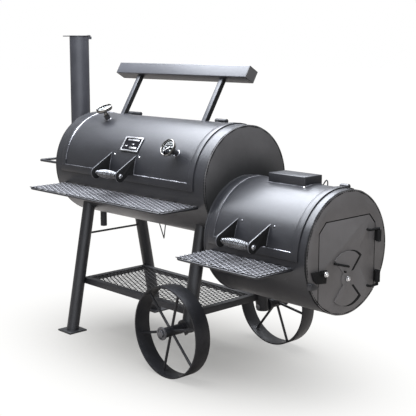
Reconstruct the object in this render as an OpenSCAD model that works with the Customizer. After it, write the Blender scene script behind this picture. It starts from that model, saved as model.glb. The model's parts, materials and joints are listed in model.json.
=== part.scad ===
// Offset smoker: a cooking barrel and a lower firebox of welded steel pipe on a wheeled
// pipe stand. Millimetres, +Z up, +X towards the firebox, -Y is the side the cook stands at.
// Working frame: X = 0 is the joint of barrel and firebox, Y = 0 is the barrel's middle plane
// and Z = 0 the ground; place() then moves it to the middle of the outer box.

/* [Barrel] */
// Outside diameter of the barrel and the firebox
pipe_od = 508; // [500:1:516]
// Wall of both pipes and of their end plates
wall = 6.35; // [5:0.05:8]
// Length of the cooking barrel
barrel_len = 1090; // [1080:1:1120]
// Height of the barrel's axis
barrel_z = 830; // [820:1:840]

/* [Firebox] */
// Length of the firebox
firebox_len = 562; // [560:1:590]
// Height of the firebox's axis
firebox_z = 610; // [605:1:620]
// Half width of the end door
door_half = 176; // [170:1:180]
// Height of the end door's top edge
door_top = 748; // [740:1:755]
// Cut at the door's two upper corners
door_chamfer = 40; // [30:1:50]
// Radius of the bow-tie air damper
damper_r = 112; // [105:1:115]

/* [Lids] */
// Middle of the main lid along the barrel
lid_mid = -551; // [-556:1:-546]
// Length of the main lid over its straps
lid_len = 964; // [950:1:970]
// Middle of the firebox lid
firebox_lid_mid = 273.5; // [272:0.5:275]
// Length of the firebox lid over its straps
firebox_lid_len = 495; // [480:1:500]
// Width of the flat sealing straps
strap_w = 32; // [28:1:36]
// Thickness of the flat sealing straps
strap_t = 5; // [4:0.5:6]

/* [Counterweight] */
// Side of the square counterweight tube
bar_side = 60; // [50:1:64]
// Length of the counterweight tube
bar_len = 923; // [900:1:930]
// Length of its two struts
strut_len = 219; // [210:1:230]
// Side of the square struts
strut_side = 25; // [20:1:30]
// Backward lean of the struts
strut_lean = 31; // [28:1:34]

/* [Stand] */
// Outside diameter of the legs
leg_od = 60.3; // [58:0.1:62]
// Half spread of the legs on the ground
leg_foot = 277; // [270:1:285]
// Inward lean of the legs, as a slope
leg_slope = 0.19; // [0.18:0.005:0.2]
// Side of the square foot plates
foot_side = 104; // [96:1:110]
// Diameter of the wheels
wheel_d = 404; // [400:1:408]
// Width of the wheel rims
wheel_w = 80; // [70:1:84]

/* [Stack] */
// Outside diameter of the smoke stack
stack_od = 100; // [96:1:104]
// Height of the stack's top
stack_top = 1469; // [1440:1:1500]
// Distance of the stack's axis from the barrel's end
stack_off = 130; // [125:1:135]

/* [Shelves] */
// Height of the main shelf's top
shelf_top = 745; // [740:1:750]
// Height of the firebox shelf's top
firebox_shelf_top = 575; // [570:1:580]
// Reach of both front shelves from the middle plane
shelf_reach = 450; // [440:1:460]
// Height of the bottom shelf's top
low_shelf_top = 265; // [255:1:275]

/* [Hidden] */
$fn = 64;

r_pipe = pipe_od / 2;
r_in = r_pipe - wall;
fit = 0.05;                       // radial clearance of a running fit
gap = 0.4;                        // clearance between faces that slide past each other
r_lid = r_pipe + gap;             // lids are rolled a little proud, so that they slide on their seats

lid_low = -1;                     // main lid's lower edge, degrees above the front horizontal
lid_high = 106.6;                 // main lid's upper edge at the back
fb_low = 2.5;                     // the same two edges of the firebox lid
fb_high = 109.6;
edge_gap = 0.5;                   // gap all round a lid, degrees
strap_lap = 14;                   // how far a strap reaches past its lid's edge
strap_a = strap_w / r_pipe * 180 / PI;
hinge_a = 110;                    // main lid's hinge line
fb_hinge_a = 113;                 // firebox lid's hinge line
hinge_r = r_pipe + 14;
hinge_pin_r = 5;
knuckle_r = 10;
main_hinges = [[-888, 110], [-251, 70]];   // middle and length of each hinge
firebox_hinges = [[96, 40], [460, 40]];

handle_half = 92.5;               // half distance between the handle's two plates
handle_t = 6;
handle_nose = [-331, 12.6];       // bolt centre from the pipe's axis
nose_r = 27;
main_handle_mid = -561;
firebox_handle_mid = 264.3;
firebox_handle_turn = 4.5;        // the firebox handle sits this much higher round its pipe
grip_wire = 5.4;
grip_pitch = 5;

gauges = [[-855, 67], [-212, 30.5]];       // place along the lid and angle of each thermometer
gauge_r = 40;
gauge_face = 54;                  // height of the dial above the lid

throat_r = r_in - 8;
axle_x = -119;
left_leg_x = -947;
axle_z = wheel_d / 2;
axle_r = 12.7;
axle_end = 402;
wheel_mid = 338;                  // wheel's middle plane from the centre line
foot_t = 8;
leg_pipe_wall = 3.9;

stack_x = -barrel_len - stack_off;
elbow_z = 930;
damper_tab = 131;
end_x = firebox_len;
bolt_y = -6;                      // air damper's axis on the end door
bolt_z = 507;
door_t = 6;
stud_reach = 36;
hinge_x = end_x + 18;             // end door's hinge axis
hinge_y = door_half + 4;
latch_y = -163;
latch_z = 554;

x_mid = (stack_x - damper_tab + end_x + stud_reach) / 2;
y_mid = (axle_end - shelf_reach) / 2;

black = [0.07, 0.07, 0.075];
grey = [0.28, 0.28, 0.29];
bright = [0.78, 0.78, 0.8];

// ---- helpers ----

// Moves the working frame to the middle of the outer box.
module place() translate([-x_mid, -y_mid, 0]) children();

// Stands its children on a pipe's skin: +Z points outwards, +Y upwards and to the back.
module on_skin(x, a, axis_z, r = r_pipe) {
    translate([x, 0, axis_z]) rotate([90 - a, 0, 0]) translate([0, 0, r]) children();
}

// Part of a pipe along X between two angles above the front horizontal.
module sector(r_out, t, x0, x1, a0, a1, axis_z) {
    translate([0, 0, axis_z]) rotate([0, 90, 0]) rotate([0, 0, 270 - a1])
        rotate_extrude(angle = a1 - a0, $fn = 128) translate([r_out - t, x0]) square([t, x1 - x0]);
}

module bar_x(r, x0, x1, y = 0, z = 0) translate([x0, y, z]) rotate([0, 90, 0]) cylinder(h = x1 - x0, r = r);
module bar_y(r, y0, y1, x = 0, z = 0) translate([x, y0, z]) rotate([-90, 0, 0]) cylinder(h = y1 - y0, r = r);

// Round bar from point p to point q.
module rod(p, q, r) {
    v = q - p;
    len = norm(v);
    translate(p) rotate([0, acos(v.z / len), atan2(v.y, v.x)]) cylinder(h = len, r = r);
}

// Round bar through a list of points, with ball corners.
module bent_rod(points, r) {
    for (i = [0 : len(points) - 2]) rod(points[i], points[i + 1], r);
    for (i = [1 : len(points) - 2]) translate(points[i]) sphere(r = r + 0.2);
}

// Plate in the YZ plane, drawn as [y, z] and grown along X.
module yz_plate(x, t) translate([x, 0, 0]) rotate([90, 0, 90]) linear_extrude(t) children();

module barrel_solid(extra = 0) bar_x(r_pipe + extra, -barrel_len, 0, 0, barrel_z, $fn = 128);
module firebox_solid(extra = 0) bar_x(r_pipe + extra, 0, end_x, 0, firebox_z, $fn = 128);

module box(lo, hi) translate(lo) cube(hi - lo);

// ---- barrel and firebox ----

module barrel_shell() color(black) place() difference() {
    bar_x(r_pipe, -barrel_len + wall, -wall, 0, barrel_z, $fn = 128);
    bar_x(r_in, -barrel_len, 1, 0, barrel_z, $fn = 128);
    sector(r_pipe + 5, wall + 20, lid_mid - lid_len / 2 + strap_lap, lid_mid + lid_len / 2 - strap_lap,
        lid_low - edge_gap, lid_high + edge_gap, barrel_z);
    translate([drain_x, 0, barrel_z - r_pipe - 10]) cylinder(h = 40, r = drain_bore);
}

module barrel_left_end() color(black) place() difference() {
    bar_x(r_pipe, -barrel_len, -barrel_len + wall, 0, barrel_z, $fn = 128);
    bar_x(stack_od / 2 - 3, -barrel_len - 1, -barrel_len + wall + 1, 0, elbow_z);
}

// One plate closes the barrel's right end and the firebox's left end; the throat joins them.
module barrel_firebox_divider() color(black) place() yz_plate(-wall, wall) difference() {
    union() {
        translate([0, barrel_z]) circle(r = r_pipe, $fn = 128);
        translate([0, firebox_z]) circle(r = r_pipe, $fn = 128);
    }
    intersection() {
        translate([0, barrel_z]) circle(r = throat_r, $fn = 128);
        translate([0, firebox_z]) circle(r = throat_r, $fn = 128);
        translate([-throat_r, firebox_z - 10]) square([2 * throat_r, 160]);
    }
}

module firebox_shell() color(black) place() difference() {
    bar_x(r_pipe, 0, end_x - wall, 0, firebox_z, $fn = 128);
    bar_x(r_in, -1, end_x, 0, firebox_z, $fn = 128);
    sector(r_pipe + 5, wall + 20, firebox_lid_mid - firebox_lid_len / 2 + strap_lap,
        firebox_lid_mid + firebox_lid_len / 2 - strap_lap, fb_low - edge_gap, fb_high + edge_gap, firebox_z);
}

// Outline of the end door, larger by grow on its sides and top.
module door_outline(grow = 0) {
    w = door_half + grow;
    top = door_top + grow;
    c = door_chamfer;
    polygon([[-w, 0], [w, 0], [w, top - c], [w - c, top], [c - w, top], [-w, top - c]]);
}

module firebox_end_ring() color(black) place() yz_plate(end_x - wall, wall) difference() {
    translate([0, firebox_z]) circle(r = r_pipe, $fn = 128);
    door_outline(3);
}

// Air slots in the end door, one above and one below the damper's bolt.
module air_slots(r0, r1, half) {
    for (s = [0, 180]) translate([bolt_y, bolt_z]) rotate(s) difference() {
        intersection() {
            circle(r = r1);
            polygon([[0, 0], [-2 * r1 * tan(half), 2 * r1], [2 * r1 * tan(half), 2 * r1]]);
        }
        circle(r = r0);
    }
}

module dome_nut(x, y, z) {
    translate([x, y, z]) rotate([0, 90, 0]) {
        cylinder(h = 3, r = 11);
        translate([0, 0, 3]) cylinder(h = 6, r = 10, $fn = 6);
        intersection() {
            translate([0, 0, 3]) sphere(r = 9.5);
            translate([0, 0, 8]) cylinder(h = 10, r = 12);
        }
    }
}

// Plate, damper bolt, latch stud and the two bent hinge pins.
module firebox_door() color(grey) place() {
    difference() {
        yz_plate(end_x - door_t, door_t) difference() {
            intersection() {
                translate([0, firebox_z]) circle(r = r_pipe, $fn = 128);
                door_outline();
            }
            air_slots(36, damper_r - 12, 36);
        }
    }
    bar_x(6, end_x - 1, end_x + 9, bolt_y, bolt_z);
    dome_nut(end_x + 7, bolt_y, bolt_z);
    bar_x(6, end_x - 1, end_x + stud_reach - 12, latch_y, latch_z);
    dome_nut(end_x + stud_reach - 12.5, latch_y, latch_z);
    for (x = [[-1, 5, 11], [13, 16, 14]]) bar_x(x[2], end_x + x[0], end_x + x[1], latch_y, latch_z);
    bent_rod([[end_x - 1, 124, 688], [hinge_x, 124, 688], [hinge_x, hinge_y, 688], [hinge_x, hinge_y, 638]],
        hinge_pin_r);
    bent_rod([[end_x - 1, 134, 452], [hinge_x, 134, 452], [hinge_x, hinge_y, 452], [hinge_x, hinge_y, 508]],
        hinge_pin_r);
}

// Two barrels on stand-off blocks take the door's pins, one from above and one from below.
module door_fixed_hinges() color(black) place() for (z = [[634, 681], [463, 511]]) difference() {
    union() {
        translate([hinge_x, hinge_y, z[0]]) cylinder(h = z[1] - z[0], r = 11);
        box([end_x, hinge_y, z[0]], [hinge_x, hinge_y + 12, z[1]]);
    }
    translate([hinge_x, hinge_y, z[0] - 1]) cylinder(h = z[1] - z[0] + 2, r = hinge_pin_r + fit);
}

module air_damper() color(grey) place() {
    difference() {
        yz_plate(end_x + gap, 5) union() {
            air_slots(1, damper_r, 43);
            translate([bolt_y, bolt_z]) circle(r = 33);
        }
        bar_x(6 + fit, end_x - 1, end_x + 10, bolt_y, bolt_z);
    }
    rod([end_x + 9, -92, bolt_z + 74], [end_x + 9, 0, bolt_z + 48], 4.5);
    bar_x(4, end_x + 4, end_x + 14, -24, bolt_z + 30);
}

// Latch plate on the door's stud. Its lower corner drops behind the keeper's lip when it turns.
module door_latch() color(black) place() difference() {
    yz_plate(end_x + 6, 6) translate([latch_y, latch_z])
        polygon([[24, 10], [-69, 13], [-53, -21], [-38, -36], [20, -43]]);
    bar_x(6 + fit, end_x, end_x + 20, latch_y, latch_z);
}

// Keeper on the ring: a block with a lip that the latch plate slides behind.
module latch_keeper() color(black) place() {
    box([end_x, -243, latch_z - 54], [end_x + 20, -231, latch_z - 28]);
    yz_plate(end_x + 14, 6) translate([latch_y, latch_z])
        polygon([[-80, -54], [-80, -28], [-66, -26], [-38, -46], [-38, -54]]);
}

// ---- lids ----

module lid_shell(mid, length, low, high, axis_z) {
    side = length / 2 - strap_lap - 2;
    sector(r_lid, wall, mid - side, mid + side, low, high, axis_z);
}

// Flat bars round a lid's sides and lower edge; they cover the gap and seal it.
module lid_straps(mid, length, low, high, axis_z) {
    r = r_lid + strap_t;
    side = length / 2 - strap_w;
    difference() {
        sector(r, strap_t, mid - length / 2, mid + length / 2, low - strap_a / 2, high, axis_z);
        sector(r + 2, strap_t + 4, mid - side, mid + side, low + strap_a / 2, high + 5, axis_z);
    }
}

// Knuckles and leaves of the hinges; side is -1 for the lid's leaf and 1 for the fixed leaf.
module hinge_leaf(x0, x1, side, a, axis_z) difference() {
    union() {
        on_skin(0, a, axis_z, hinge_r) bar_x(knuckle_r, x0, x1);
        on_skin(0, a, axis_z, r_pipe - 2) box([x0, min(0, side * 28), 0], [x1, max(0, side * 28), 10]);
    }
    on_skin(0, a, axis_z, hinge_r) bar_x(hinge_pin_r + fit, x0 - 1, x1 + 1);
    translate([0, 0, axis_z]) rotate([0, 90, 0])
        translate([0, 0, x0 - 1]) cylinder(h = x1 - x0 + 2, r = side < 0 ? r_lid : r_pipe, $fn = 128);
}

module moving_hinges(list, a, axis_z) {
    for (h = list) hinge_leaf(h[0] - h[1] / 6 + gap, h[0] + h[1] / 6 - gap, -1, a, axis_z);
}

// The fixed leaves hold the pin, so pin and outer knuckles are one piece.
module fixed_hinges(list, a, axis_z) for (h = list) {
    hinge_leaf(h[0] - h[1] / 2, h[0] - h[1] / 6, 1, a, axis_z);
    hinge_leaf(h[0] + h[1] / 6, h[0] + h[1] / 2, 1, a, axis_z);
    on_skin(0, a, axis_z, hinge_r) {
        bar_x(hinge_pin_r, h[0] - h[1] / 2 - 3, h[0] + h[1] / 2 + 3);
        for (x = [h[0] - h[1] / 2 - 3, h[0] + h[1] / 2]) bar_x(hinge_pin_r + 2, x, x + 3);
    }
}

module main_hinge_fixed() color(black) place() fixed_hinges(main_hinges, hinge_a, barrel_z);
module firebox_hinge_fixed() color(black) place() fixed_hinges(firebox_hinges, fb_hinge_a, firebox_z);
module main_hinge_moving() color(black) place() moving_hinges(main_hinges, hinge_a, barrel_z);
module firebox_hinge_moving() color(black) place() moving_hinges(firebox_hinges, fb_hinge_a, firebox_z);

module main_lid_shell() color(black) place() difference() {
    lid_shell(lid_mid, lid_len, lid_low, lid_high, barrel_z);
    for (g = gauges) on_skin(g[0], g[1], barrel_z, r_in - 5) cylinder(h = wall + 10, r = 8);
}

module main_lid_straps() color(black) place() lid_straps(lid_mid, lid_len, lid_low, lid_high, barrel_z);

module firebox_lid_shell() color(black) place()
    lid_shell(firebox_lid_mid, firebox_lid_len, fb_low, fb_high, firebox_z);

module firebox_lid_straps() color(black) place()
    lid_straps(firebox_lid_mid, firebox_lid_len, fb_low, fb_high, firebox_z);

// ---- handles ----

// Outline of one handle plate in [y, z] from the pipe's axis: straight top edge, round nose.
module handle_outline() difference() {
    union() {
        translate(handle_nose) circle(r = nose_r);
        polygon([[-236, 99.5], [-344.6, 35.9], handle_nose, [-311.9, -6.5], [-300, 3], [-288, 12.5],
            [-240, 12.5], [-225, 30]]);
    }
    circle(r = r_lid, $fn = 128);
    translate(handle_nose) circle(r = 5.2);
}

module handle_brackets(mid, turn, axis_z) translate([mid, 0, axis_z]) rotate([-turn, 0, 0])
    for (x = [-handle_half, handle_half - handle_t]) yz_plate(x, handle_t) handle_outline();

function grip_radius(t) = 8 + 11 * sin(180 * t);

// Barrel-shaped coil grip on its through-bolt, drawn along Z from its middle.
module coil_grip() {
    r = grip_wire / 2 + 0.2;
    reach = handle_half - handle_t - r;
    turns = floor(2 * reach / grip_pitch);
    rotate_extrude() for (i = [0 : turns])
        translate([grip_radius(i / turns), (2 * i / turns - 1) * reach]) circle(r = r, $fn = 10);
    translate([0, 0, -handle_half - 5]) cylinder(h = 2 * handle_half + 10, r = 5);
    for (s = [-1, 1]) translate([0, 0, s * (handle_half + 3) - 3]) cylinder(h = 6, r = 9, $fn = 6);
}

module handle_grip(mid, turn, axis_z) translate([mid, 0, axis_z]) rotate([-turn, 0, 0])
    translate([0, handle_nose.x, handle_nose.y]) rotate([0, 90, 0]) intersection() {
        coil_grip();
        cylinder(h = 2 * handle_half + 12, r = 30, center = true);
    }

module main_handle_brackets() color(black) place() handle_brackets(main_handle_mid, 0, barrel_z);
module main_handle_grip() color(bright) place() handle_grip(main_handle_mid, 0, barrel_z);
module firebox_handle_brackets() color(black) place()
    handle_brackets(firebox_handle_mid, firebox_handle_turn, firebox_z);
module firebox_handle_grip() color(bright) place()
    handle_grip(firebox_handle_mid, firebox_handle_turn, firebox_z);

// ---- on the main lid ----

module strut_axis() translate([0, -5.3, barrel_z + 252.7]) rotate([-strut_lean, 0, 0]) children();

module lid_struts() color(black) place() difference() {
    for (x = [lid_mid - 314, lid_mid + 276]) strut_axis()
        translate([x, 15 - strut_side, -12]) difference() {
            cube([strut_side, strut_side, strut_len + 12]);
            translate([3, 3, -1]) cube([strut_side - 6, strut_side - 6, strut_len + 14]);
        }
    bar_x(r_lid, -barrel_len, 0, 0, barrel_z, $fn = 128);
}

module counterweight_bar() color(black) place() strut_axis()
    translate([lid_mid - 3 - bar_len / 2, -bar_side / 2, strut_len]) difference() {
        cube([bar_len, bar_side, bar_side]);
        translate([6, 6, 6]) cube([bar_len - 12, bar_side - 12, bar_side - 12]);
    }

// Plain framed plate on two studs, with generic raised bars.
module badge_plate() color(bright) place() on_skin(lid_mid + 21.5, 34, barrel_z, r_lid) {
    for (x = [-45, 45]) translate([x, 0, 0]) cylinder(h = 3.2, r = 4);
    difference() {
        box([-63, -37.5, 2.9], [63, 37.5, 6.4]);
        box([-56, -30.5, 4], [56, 30.5, 8]);
    }
    for (b = [[-40, 18, 41, 25], [-8, -23, 42, -13], [4, -3, 16, 3], [-42, -14, -26, -8]])
        box([b[0], b[1], 3.5], [b[2], b[3], 5.4]);
}

module each_gauge() for (g = gauges) on_skin(g[0], g[1], barrel_z, r_lid) children();

module thermometer_sockets() color(black) place() difference() {
    each_gauge() difference() {
        translate([0, 0, -1]) cylinder(h = 25, r = 14);
        translate([0, 0, -2]) cylinder(h = 30, r = 8);
    }
    bar_x(r_lid, -barrel_len, 0, 0, barrel_z, $fn = 128);
}

module thermometer_cases() color(bright) place() each_gauge() {
    translate([0, 0, -48]) cylinder(h = gauge_face - 8 + 50, r = 4.5);
    translate([0, 0, 24.2]) cylinder(h = 9, r = 11, $fn = 6);
    difference() {
        translate([0, 0, gauge_face - 8]) cylinder(h = 20, r = gauge_r);
        translate([0, 0, gauge_face]) cylinder(h = 30, r = gauge_r - 4);
    }
}

module thermometer_dials() color(black) place() each_gauge() translate([0, 0, gauge_face]) {
    cylinder(h = 1.5, r = gauge_r - 4.2);
    cylinder(h = 5, r = 1.5);
}

module thermometer_lenses() color([0.8, 0.85, 0.9, 0.3]) place() each_gauge()
    translate([0, 0, gauge_face + 7]) cylinder(h = 2.5, r = gauge_r - 4.1);

// Pointer on the dial's post; turn is its rest angle from the dial's right.
module needle(g, turn) on_skin(g[0], g[1], barrel_z, r_lid) translate([0, 0, gauge_face + 2.5]) rotate(turn)
    difference() {
        union() {
            cylinder(h = 1.6, r = 4);
            translate([-9, -1, 0]) cube([36, 2, 1.2]);
        }
        translate([0, 0, -1]) cylinder(h = 4, r = 1.5 + fit);
    }

module left_needle() color("white") place() needle(gauges[0], 215);
module right_needle() color("white") place() needle(gauges[1], 215);

// ---- on the firebox lid ----

// Closed flat-topped box welded to the lid, where a kettle keeps warm.
module warming_box() color(black) place() difference() {
    box([180, -54, firebox_z + 225], [380, 54, firebox_z + 290]);
    box([184, -50, firebox_z + 225.5], [376, 50, firebox_z + 286]);
    firebox_solid(gap);
}

// ---- stand ----

module leg(x, side, bottom, r) {
    top = 680;
    y0 = leg_foot - leg_slope * bottom;
    y1 = leg_foot - leg_slope * top;
    rod([x, side * y0, bottom], [x, side * y1, top], r);
}

module leg_pipe(x, side, cut_z) difference() {
    leg(x, side, cut_z - 60, leg_od / 2);
    leg(x, side, cut_z - 70, leg_od / 2 - leg_pipe_wall);
    box([x - 60, -400, cut_z - 100], [x + 60, 400, cut_z]);
    barrel_solid();
    if (cut_z > foot_t) bar_y(axle_r, -400, 400, axle_x, axle_z);
}

module leg_front_left() color(black) place() leg_pipe(left_leg_x, -1, foot_t);
module leg_rear_left() color(black) place() leg_pipe(left_leg_x, 1, foot_t);
module leg_front_right() color(black) place() leg_pipe(axle_x, -1, axle_z - 20);
module leg_rear_right() color(black) place() leg_pipe(axle_x, 1, axle_z - 20);

module foot_plates() color(black) place() for (s = [-1, 1])
    translate([left_leg_x - foot_side / 2, s * leg_foot - foot_side / 2, 0])
        cube([foot_side, foot_side, foot_t]);

module leg_tie_rod() color(black) place() difference() {
    bar_y(5, -190, 190, left_leg_x, 488);
    for (s = [-1, 1]) leg(left_leg_x, s, 400, leg_od / 2);
}

// A collar between each leg and its wheel, coped to the leg.
module axle_collars() color(black) place() difference() {
    for (y = [-272, 264]) bar_y(35, y, y + 8, axle_x, axle_z);
    bar_y(axle_r, -300, 300, axle_x, axle_z);
    for (s = [-1, 1]) leg(axle_x, s, 100, leg_od / 2);
}

// Each stub axle is welded through its leg; there is none between the legs.
module stub_axles() color(grey) place() for (y = [-395, 206]) bar_y(axle_r, y, y + 189, axle_x, axle_z);

// Cup washer and hexagon nut on the end of each stub axle.
module axle_end_caps() color(grey) place() for (s = [-1, 1])
    translate([axle_x, s * 389, axle_z]) rotate([-90 * s, 0, 0]) difference() {
        union() {
            cylinder(h = 3, r = 29);
            difference() {
                cylinder(h = 8, r = 29);
                translate([0, 0, -1]) cylinder(h = 10, r = 23);
            }
            cylinder(h = axle_end - 389, r = 17, $fn = 6);
        }
        translate([0, 0, -1]) cylinder(h = 7, r = axle_r);
    }

// Steel band, six round spokes and a long hub, welded into one wheel.
module wheel(side, turn) translate([axle_x, side * wheel_mid, axle_z]) rotate([90, 0, 0]) {
    difference() {
        cylinder(h = wheel_w, r = wheel_d / 2, center = true, $fn = 128);
        cylinder(h = wheel_w + 2, r = wheel_d / 2 - 6, center = true, $fn = 128);
    }
    for (a = [0 : 60 : 300]) rotate(a + turn) rotate([0, 90, 0])
        translate([0, 0, 20]) cylinder(h = wheel_d / 2 - 23, r = 6);
    difference() {
        translate([0, 0, side > 0 ? -50 : -56]) cylinder(h = 106, r = 22);
        cylinder(h = 200, r = axle_r + 0.08, center = true);
    }
}

module front_wheel() color(black) place() wheel(-1, 15);
module rear_wheel() color(black) place() wheel(1, 52);

// ---- shelves ----

// Round-bar frame of a front shelf, from the pipe's skin to its reach, with rounded corners.
module shelf_frame(x0, x1, top, axis_z) {
    z = top - 8;
    r = 5;
    c = 22;
    y1 = r - shelf_reach;
    bays = ceil((x1 - x0) / 190);
    difference() {
        union() {
            bar_x(r, x0 + r + c, x1 - r - c, y1, z);
            for (x = [x0 + r, x1 - r]) bar_y(r, y1 + c, -200, x, z);
            translate([x0 + r + c, y1 + c, z]) rotate(180)
                rotate_extrude(angle = 90) translate([c, 0]) circle(r = r);
            translate([x1 - r - c, y1 + c, z]) rotate(270)
                rotate_extrude(angle = 90) translate([c, 0]) circle(r = r);
            for (k = [1 : bays - 1]) bar_y(r - 1, y1, -200, x0 + k * (x1 - x0) / bays, z);
            bar_x(r - 1.5, x0 + r, x1 - r, -262, z);
        }
        bar_x(r_pipe, -barrel_len, end_x, 0, axis_z, $fn = 128);
    }
}

// Expanded sheet, drawn flat from [x0, y0] to [x1, y1]: solid edges and rows of diamonds.
module mesh_sheet(x0, x1, y0, y1, top, way = 72, across = 30, strand = 7) {
    nx = floor((x1 - x0 - 20) / way);
    ny = floor((y1 - y0 - 20) / across);
    mx = (x0 + x1) / 2;
    my = (y0 + y1) / 2;
    translate([0, 0, top - 3]) linear_extrude(3) difference() {
        translate([x0, y0]) square([x1 - x0, y1 - y0]);
        for (i = [0 : nx - 1], j = [0 : ny - 1])
            translate([mx + (i + 0.5 - nx / 2) * way, my + (j + 0.5 - ny / 2) * across])
                diamond(way, across, strand);
        for (i = [1 : nx - 1], j = [1 : ny - 1])
            translate([mx + (i - nx / 2) * way, my + (j - ny / 2) * across]) diamond(way, across, strand);
    }
}

module diamond(way, across, strand) {
    a = way / 2 - strand;
    b = across / 2 - strand / 2;
    polygon([[-a, 0], [0, -b], [a, 0], [0, b]]);
}

module main_shelf_frame() color(black) place()
    shelf_frame(main_shelf_x0, main_shelf_x1, shelf_top, barrel_z);
module main_shelf_mesh() color(grey) place() difference() {
    mesh_sheet(main_shelf_x0 + 3, main_shelf_x1 - 3, 5 - shelf_reach, -239.5, shelf_top);
    barrel_solid();
}
module firebox_shelf_frame() color(black) place()
    shelf_frame(fb_shelf_x0, fb_shelf_x1, firebox_shelf_top, firebox_z);
module firebox_shelf_mesh() color(grey) place() difference() {
    mesh_sheet(fb_shelf_x0 + 3, fb_shelf_x1 - 3, 5 - shelf_reach, -250, firebox_shelf_top);
    firebox_solid();
}

// Angle-iron frame between the four legs.
module bottom_shelf_frame() color(black) place() difference() {
    box([low_x0, -low_half, low_shelf_top - 30], [low_x1, low_half, low_shelf_top]);
    box([low_x0 + 3, -low_half + 3, low_shelf_top - 31], [low_x1 - 3, low_half - 3, low_shelf_top - 3]);
    box([low_x0 + 30, -low_half + 30, low_shelf_top - 40], [low_x1 - 30, low_half - 30, low_shelf_top + 1]);
    all_legs();
}

module bottom_shelf_mesh() color(grey) place() difference() {
    mesh_sheet(low_x0 + 4, low_x1 - 4, -low_half + 4, low_half - 4, low_shelf_top - 3);
    all_legs();
}

module all_legs() for (x = [left_leg_x, axle_x], s = [-1, 1]) leg(x, s, 150, leg_od / 2);

// ---- stack ----

// Mitred pipe, with the lug and headed pin that its damper swings on.
module stack_pipe() color(black) place() {
    difference() {
        translate([stack_x, 0, elbow_z - stack_od])
            cylinder(h = stack_top - elbow_z + stack_od, r = stack_od / 2);
        translate([stack_x, 0, elbow_z - 150]) cylinder(h = 900, r = stack_od / 2 - 3);
        mitre_half(1);
    }
    translate([stack_x, damper_pin_y, stack_top]) {
        translate([-11, 48 - damper_pin_y, -14]) cube([22, damper_pin_y - 38, 14]);
        translate([0, 0, -8]) cylinder(h = 13.4, r = 4);
        translate([0, 0, 5.4]) cylinder(h = 2.2, r = 8);
    }
}

module stack_elbow() color(black) place() difference() {
    bar_x(stack_od / 2, stack_x - stack_od, -barrel_len, 0, elbow_z);
    bar_x(stack_od / 2 - 3, stack_x - stack_od - 1, -barrel_len + 1, 0, elbow_z);
    mitre_half(-1);
}

// Half space on one side of the elbow's mitre plane: side 1 holds the elbow, -1 the pipe.
module mitre_half(side) translate([stack_x, 0, elbow_z]) rotate([0, 45, 0])
    translate([side > 0 ? 0 : -500, -200, -500]) cube([500, 400, 1000]);

// Flat cap that swings aside on a pin behind the stack.
module stack_damper() color(black) place() translate([stack_x, 0, stack_top + gap]) {
    difference() {
        union() {
            cylinder(h = 4.6, r = stack_od / 2 + 2);
            translate([0, damper_pin_y, 0]) cylinder(h = 4.6, r = 10);
            translate([-10, 0, 0]) cube([20, damper_pin_y, 4.6]);
            translate([-damper_tab, -11, 0]) cube([damper_tab, 22, 4.6]);
        }
        translate([0, damper_pin_y, -1]) cylinder(h = 7, r = 4 + fit);
    }
}

// ---- rods, pipes and hooks ----

module end_handle() color(black) place() {
    r = 6.35;
    c = 12;
    y = 246;
    x = -barrel_len - 150;
    for (s = [-1, 1]) bar_x(r, x + c, -barrel_len, s * y, 840);
    bar_y(r, c - y, y - c, x, 840);
    for (s = [-1, 1]) translate([x + c, s * (y - c), 840]) rotate(s > 0 ? 90 : 180)
        rotate_extrude(angle = 90) translate([c, 0]) circle(r = r);
}

module drain_pipe() color(black) place() difference() {
    union() {
        translate([drain_x, 0, 492]) cylinder(h = 110, r = 16.7);
        bar_x(4, drain_x - 24, drain_x - 15, 0, 526);
    }
    translate([drain_x, 0, 490]) cylinder(h = 120, r = drain_bore);
    barrel_solid();
}

module bucket_hook() color(black) place() difference() {
    bent_rod([[-599, 0, 590], [-555, 0, 498], [-539, 0, 590]], 2.6);
    barrel_solid();
}

module tool_loop() color(black) place() difference() {
    bent_rod([for (p = [[300, 815], [329.5, 859.5], [336, 864], [340.5, 861], [342, 855], [342, 790]])
        [p.x, 138, p.y]], 2.6);
    firebox_solid();
}

// ---- inside ----

// Two lift-out grates of round bars side by side on the rails.
module cooking_grates() color(grey) place() for (x = [grate_x0, grate_x0 + grate_len + 12]) {
    difference() {
        box([x, -236, grate_z], [x + grate_len, 236, grate_z + 9]);
        box([x + 9, -227, grate_z - 1], [x + grate_len - 9, 227, grate_z + 10]);
    }
    for (k = [1 : 19]) bar_y(3.5, -230, 230, x + k * grate_len / 20, grate_z + 5);
}

// Angle irons that carry the cooking grates and the fire grate.
module grate_rails() color(black) place() {
    intersection() {
        for (s = [-1, 1]) {
            box([-barrel_len + wall, min(s * 222, s * 260), grate_z - 3],
                [-wall, max(s * 222, s * 260), grate_z]);
            box([-barrel_len + wall, min(s * 222, s * 225), grate_z - 25],
                [-wall, max(s * 222, s * 225), grate_z]);
        }
        bar_x(r_in, -barrel_len, 0, 0, barrel_z, $fn = 128);
    }
    intersection() {
        for (s = [-1, 1])
            box([0, min(s * 180, s * 240), 465], [end_x - wall - 4, max(s * 180, s * 240), 471]);
        bar_x(r_in, 0, end_x, 0, firebox_z, $fn = 128);
    }
}

module heat_baffle() color(grey) place() difference() {
    intersection() {
        box([-340, -250, 766], [-wall, 250, 772]);
        bar_x(r_in, -barrel_len, 0, 0, barrel_z, $fn = 128);
    }
    for (i = [0 : 3], j = [-1 : 1])
        translate([-300 + i * 70, j * 130, 760]) cylinder(h = 20, r = 12 - 2 * i);
}

module fire_grate() color(grey) place() {
    for (k = [0 : 10]) box([20 + k * 50, -195, 471], [32 + k * 50, 195, 489]);
    for (y = [-150, 0, 150]) box([20, y - 6, 471], [532, y + 6, 485]);
}

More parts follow.
